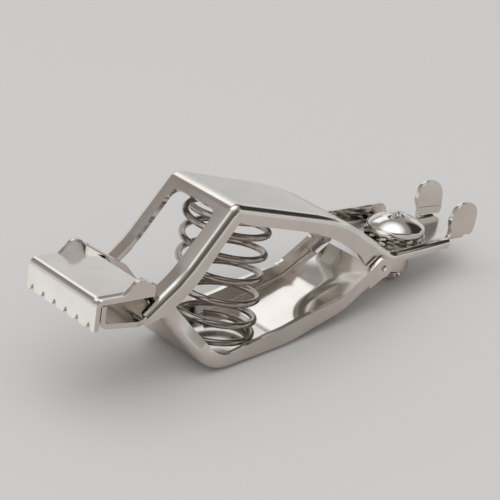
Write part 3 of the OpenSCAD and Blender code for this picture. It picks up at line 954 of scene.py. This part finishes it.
@dataclass
class LockWasher:
    """External-tooth lock washer: a ring with twisted teeth, instanced by Geometry Nodes.

    A tooth is tooth_root longer than the step from the ring to the outer radius, and its middle
    lies tooth_inset in from the middle of that step. It is tooth_narrow as wide as tooth_width
    and tooth_thin as thick as the ring.
    """

    axis_x: float = 31.0
    inner_radius: float = 1.9
    ring_radius: float = 3.1
    outer_radius: float = 3.8
    thickness: float = 0.5
    ring_thickness: float = 0.34
    tooth_width: float = 0.84
    tooth_root: float = 0.3
    tooth_inset: float = 0.16
    tooth_narrow: float = 0.86
    tooth_thin: float = 0.8
    teeth: int = 14
    twist_degrees: float = 16.0
    facets: int = 96

    def build(self, plane: ClipPlane, finish: PlatedFinish) -> bpy.types.Object:
        """Build the washer and put it on its body.

        Args:
            plane: the clip's plane.
            finish: the washer's finish.

        Returns:
            The finished piece.
        """
        recipe = GeometryRecipe("lock_washer")
        teeth = recipe.size("Teeth", self.teeth, "NodeSocketInt")
        inner = recipe.size("Inner Radius", self.inner_radius)
        ring = recipe.size("Ring Radius", self.ring_radius)
        outer = recipe.size("Outer Radius", self.outer_radius)
        sheet = recipe.size("Sheet", self.ring_thickness)
        width = recipe.size("Tooth Width", self.tooth_width)
        twist = recipe.size("Twist", math.radians(self.twist_degrees))

        round_path = recipe.add("GeometryNodeCurvePrimitiveCircle")
        round_path.inputs["Resolution"].default_value = self.facets
        recipe.feed(round_path.inputs["Radius"],
                    recipe.math("MULTIPLY", recipe.math("ADD", inner, ring), 0.5))
        section = recipe.add("GeometryNodeCurvePrimitiveQuadrilateral")
        recipe.feed(section.inputs["Width"], recipe.math("SUBTRACT", ring, inner))
        recipe.feed(section.inputs["Height"], sheet)
        band = recipe.add("GeometryNodeCurveToMesh")
        recipe.feed(band.inputs["Curve"], round_path.outputs["Curve"])
        recipe.feed(band.inputs["Profile Curve"], section.outputs["Curve"])

        tooth = recipe.add("GeometryNodeMeshCube")
        block = recipe.vector(
            recipe.math("ADD", recipe.math("SUBTRACT", outer, ring), self.tooth_root),
            recipe.math("MULTIPLY", width, self.tooth_narrow),
            recipe.math("MULTIPLY", sheet, self.tooth_thin))
        recipe.feed(tooth.inputs["Size"], block)
        spots = recipe.add("GeometryNodeMeshCircle")
        recipe.feed(spots.inputs["Vertices"], teeth)
        reach = recipe.math("MULTIPLY", recipe.math("ADD", outer, ring), 0.5)
        recipe.feed(spots.inputs["Radius"], recipe.math("SUBTRACT", reach, self.tooth_inset))
        index = recipe.add("GeometryNodeInputIndex").outputs[0]
        turn = recipe.math("DIVIDE", recipe.math("MULTIPLY", math.tau, index), teeth)
        set_out = recipe.add("GeometryNodeInstanceOnPoints")
        recipe.feed(set_out.inputs["Points"], spots.outputs["Mesh"])
        recipe.feed(set_out.inputs["Instance"], tooth.outputs["Mesh"])
        recipe.feed(set_out.inputs["Rotation"], recipe.vector(x=twist, z=turn))
        both = recipe.add("GeometryNodeJoinGeometry")
        recipe.tree.links.new(band.outputs["Mesh"], both.inputs["Geometry"])
        recipe.tree.links.new(set_out.outputs["Instances"], both.inputs["Geometry"])
        material = finish.material()
        recipe.finish(both.outputs["Geometry"], material)
        mesh = recipe.bake("lock_washer_toothed")
        form = bmesh.new()
        form.from_mesh(mesh)
        bmesh.ops.recalc_face_normals(form, faces=form.faces)
        form.to_mesh(mesh)
        form.free()
        mesh.transform(plane.matrix() @ Matrix.Translation((self.axis_x, 0.0, self.thickness / 2)))
        washer = piece("lock_washer_toothed", mesh, material)
        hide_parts("lock_washer")
        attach(washer, Body.WASHER.value)
        return washer


# ---- studio --------------------------------------------------------------------------------


@dataclass
class Studio:
    """Pale floor, soft light, and a room that the plating mirrors.

    The floor has floor_tone. For mirror rays its colour is painted: the plating mirrors it in
    near_painted_shade, a painted shade that is darker and warmer under the clip, in far_tone beyond
    far_reach, and in back_painted_highlight, a painted bright reflection, beyond back_reach along
    back_direction. Reaches are in metres, and bands are heights of the direction looked in, 0
    level and 1 overhead.
    """

    floor_half: float = 3.0
    floor_tone: Color = (0.6, 0.592, 0.582)
    # painted shade: the darker, warmer floor that mirror rays see under the clip
    near_painted_shade: Color = (0.5, 0.461, 0.438)
    far_tone: Color = (0.61, 0.617, 0.612)
    far_reach: Span = (0.04, 0.065)
    # painted bright reflection: the floor behind the clip, brighter to mirror rays than it is lit
    back_painted_highlight: Color = (0.9, 0.9, 0.895)
    back_reach: Span = (0.025, 0.055)
    back_direction: tuple[float, float, float] = (-0.85, 0.53, 0.0)
    world_tone: Color = (1.0, 0.995, 0.99)
    world_level: float = 0.74
    wall_band: Span = (0.28, 0.5)
    wall_levels: Span = (0.74, 0.34)
    ceiling_band: Span = (0.84, 0.97)
    ceiling_level: float = 1.1
    dark_tone: Color = (1.0, 0.78, 0.66)
    bright_tone: Color = (1.0, 0.99, 0.985)
    bright_level: float = 0.6
    lamp_power: float = 1.35
    lamp_size: float = 0.7
    lamp_place: tuple[float, float, float] = (-0.12, -0.02, 0.55)

    def floor(self) -> bpy.types.Object:
        """Make the floor.

        Returns:
            The floor.
        """
        mesh = bpy.data.meshes.new("floor")
        h = self.floor_half
        mesh.from_pydata([(-h, -h, 0), (h, -h, 0), (h, h, 0), (-h, h, 0)], [], [(0, 1, 2, 3)])
        plane = placed("floor", mesh)
        made = bpy.data.materials.new("pale_paper")
        sheet = blank_sheet(made)
        place = sheet.add("ShaderNodeTexCoord").outputs["Object"]
        away = sheet.add("ShaderNodeVectorMath", operation="LENGTH")
        sheet.feed(away.inputs[0], place)
        far = sheet.ramp(away.outputs["Value"], *self.far_reach)
        ahead = sheet.add("ShaderNodeVectorMath", operation="DOT_PRODUCT")
        sheet.feed(ahead.inputs[0], place)
        ahead.inputs[1].default_value = self.back_direction
        behind = sheet.ramp(ahead.outputs["Value"], *self.back_reach)
        # Mirror rays see painted shade under the clip and a painted bright reflection behind it; the
        # camera and the lamp see the even floor_tone
        mirrored = sheet.mixed(behind, sheet.mixed(far, self.near_painted_shade, self.far_tone), self.back_painted_highlight)
        matt = sheet.add("ShaderNodeBsdfDiffuse")
        sheet.feed(matt.inputs["Color"], sheet.mixed(sheet.glossy(), self.floor_tone, mirrored))
        sheet.feed(sheet.add("ShaderNodeOutputMaterial").inputs["Surface"], matt.outputs["BSDF"])
        mesh.materials.append(made)
        return plane

    def lamp(self) -> bpy.types.Object:
        """Hang the large soft lamp over the clip.

        Returns:
            The lamp.
        """
        data = bpy.data.lights.new("softbox", "AREA")
        data.shape = "SQUARE"
        data.size = self.lamp_size
        data.energy = self.lamp_power
        lamp = placed("softbox", data)
        lamp.location = self.lamp_place
        lamp.rotation_euler = (-lamp.location).to_track_quat("-Z", "Y").to_euler()
        lamp.visible_glossy = False
        return lamp

    def room(self) -> bpy.types.World:
        """Make the world: even light, and for mirror rays a room with bright and dark panels.

        Returns:
            The world.
        """
        world = bpy.data.worlds.new("studio_room")
        bpy.context.scene.world = world
        sheet = blank_sheet(world)
        direction = sheet.add("ShaderNodeTexCoord").outputs["Generated"]
        parts = sheet.add("ShaderNodeSeparateXYZ")
        sheet.feed(parts.inputs[0], direction)
        height = parts.outputs["Z"]

        walls = sheet.ramp(height, *self.wall_band, *self.wall_levels)
        level = sheet.math("ADD", walls, sheet.ramp(height, *self.ceiling_band, 0.0, self.ceiling_level))
        for panel in ROOM_PANELS:
            level = panel.laid_over(sheet, direction, height, level)

        even = sheet.add("ShaderNodeBackground")
        even.inputs["Color"].default_value = (*self.world_tone, 1.0)
        even.inputs["Strength"].default_value = self.world_level
        mirrored = sheet.add("ShaderNodeBackground")
        brightness = sheet.ramp(level, 0.0, self.bright_level)
        sheet.feed(mirrored.inputs["Color"], sheet.mixed(brightness, self.dark_tone, self.bright_tone))
        sheet.feed(mirrored.inputs["Strength"], level)
        pick = sheet.add("ShaderNodeMixShader")
        for socket, value in zip(pick.inputs, (sheet.glossy(), even.outputs[0], mirrored.outputs[0])):
            sheet.feed(socket, value)
        sheet.feed(sheet.add("ShaderNodeOutputWorld").inputs["Surface"], pick.outputs[0])
        return world


@dataclass(frozen=True)
class RoomPanel:
    """A soft-edged panel of the room that the plating mirrors.

    Azimuth is from +X towards +Y. Angles are in degrees.
    """

    azimuth: float
    half_width: float
    low: float
    high: float
    level: float
    softness: float = 5.0

    def _edge(self, angle: float) -> Span:
        """Return the two heights between which an edge at that angle fades."""
        begin, end = (math.sin(math.radians(angle + turn)) for turn in (-self.softness, self.softness))
        return begin, end

    def laid_over(self, sheet: NodeSheet, direction: bpy.types.NodeSocket,
                  height: bpy.types.NodeSocket, under: bpy.types.NodeSocket) -> bpy.types.NodeSocket:
        """Lay the panel over what the room shows so far.

        Args:
            sheet: the world's node tree.
            direction: the direction looked in.
            height: the direction's height.
            under: the brightness so far.

        Returns:
            The brightness with the panel.
        """
        flat = sheet.add("ShaderNodeVectorMath", operation="MULTIPLY")
        sheet.feed(flat.inputs[0], direction)
        flat.inputs[1].default_value = (1.0, 1.0, 0.0)
        unit = sheet.add("ShaderNodeVectorMath", operation="NORMALIZE")
        sheet.feed(unit.inputs[0], flat.outputs["Vector"])
        facing = sheet.add("ShaderNodeVectorMath", operation="DOT_PRODUCT")
        sheet.feed(facing.inputs[0], unit.outputs["Vector"])
        turn = math.radians(self.azimuth)
        facing.inputs[1].default_value = (math.cos(turn), math.sin(turn), 0.0)
        across = sheet.ramp(facing.outputs["Value"],
                            math.cos(math.radians(self.half_width + self.softness)),
                            math.cos(math.radians(max(0.0, self.half_width - self.softness))))
        rise = sheet.ramp(height, *self._edge(self.low))
        fall = sheet.ramp(height, *self._edge(self.high), 1.0, 0.0)
        mask = sheet.math("MULTIPLY", across, sheet.math("MULTIPLY", rise, fall))
        mix = sheet.add("ShaderNodeMix", data_type="FLOAT")
        sheet.feed(mix.inputs["Factor"], mask)
        for index, value in zip(MIX_NUMBERS, (under, self.level)):
            sheet.feed(mix.inputs[index], value)
        return mix.outputs[0]


ROOM_PANELS = (
    RoomPanel(azimuth=46.0, half_width=10.0, low=31.5, high=43.0, level=0.08, softness=1.5),
    RoomPanel(azimuth=50.0, half_width=10.0, low=24.0, high=30.5, level=1.1, softness=1.5),
    RoomPanel(azimuth=69.0, half_width=14.0, low=31.0, high=50.0, level=1.2, softness=2.0),
    RoomPanel(azimuth=-12.0, half_width=27.0, low=9.0, high=46.0, level=0.04, softness=4.0),
    RoomPanel(azimuth=120.0, half_width=29.0, low=26.0, high=52.0, level=0.3, softness=3.0),
    RoomPanel(azimuth=132.0, half_width=14.0, low=26.0, high=52.0, level=0.46, softness=2.0),
    RoomPanel(azimuth=-100.0, half_width=40.0, low=2.0, high=40.0, level=0.12, softness=10.0),
    RoomPanel(azimuth=190.0, half_width=26.0, low=10.0, high=55.0, level=1.2),
)


@dataclass(frozen=True)
class ViewPoint:
    """Camera of the main view, given in the clip's plane.

    Angles are in radians. distance, aside and above are in units of unit_mm, lens and sensor in
    millimetres, nearest and furthest in metres.
    """

    azimuth: float = 0.669601
    elevation: float = 0.475537
    tilt: float = 0.167242
    distance: float = 288.166
    aside: float = -8.1947
    above: float = -2.5898
    unit_mm: float = 0.78
    lens: float = 144.0
    sensor: float = 36.0
    nearest: float = 0.01
    furthest: float = 20.0

    def place(self, plane: ClipPlane) -> bpy.types.Object:
        """Make the camera and make it the scene's.

        Args:
            plane: the clip's plane.

        Returns:
            The camera.
        """
        ca, sa = math.cos(self.azimuth), math.sin(self.azimuth)
        ce, se = math.cos(self.elevation), math.sin(self.elevation)
        back = Vector((-ce * sa, -ce * ca, se))
        right = Vector((ca, -sa, 0.0))
        up = Vector((se * sa, se * ca, ce))
        untilt = Matrix.Rotation(-self.tilt, 3, "Y")
        stand = untilt @ (self.distance * back - self.aside * right - self.above * up) * self.unit_mm
        turn = Matrix.Rotation(plane.tilt(), 3, "Y") @ untilt
        axes = Matrix([turn @ right, turn @ up, turn @ back]).transposed()
        data = bpy.data.cameras.new("view")
        data.lens = self.lens
        data.sensor_width = self.sensor
        data.clip_start = self.nearest
        data.clip_end = self.furthest
        camera = placed("view", data)
        camera.matrix_world = Matrix.Translation(plane.matrix() @ stand) @ axes.to_4x4()
        bpy.context.scene.camera = camera
        return camera


def main() -> None:
    """Build the clip's pieces in order, then the studio and the camera."""
    logging.basicConfig(level=logging.INFO, format="%(name)s: %(message)s")
    plane = ClipPlane()
    ViewPoint().place(plane)
    pieces = [
        FoldedArm("upper_arm", Body.UPPER_ARM, NICKEL, EARS).build(plane),
        FoldedArm("lower_arm", Body.LOWER_ARM, DISHED_NICKEL).build(plane),
        CoilSpring().build(plane, WIRE),
        TerminalScrew().build(plane, HEAD),
        LockWasher().build(plane, ZINC),
    ]
    for made in pieces:
        LOG.info("%s: %d faces", made.name, len(made.data.polygons))
    studio = Studio()
    studio.floor()
    studio.lamp()
    studio.room()
    bpy.context.scene.view_settings.view_transform = "Standard"


if __name__ == "__main__":
    main()
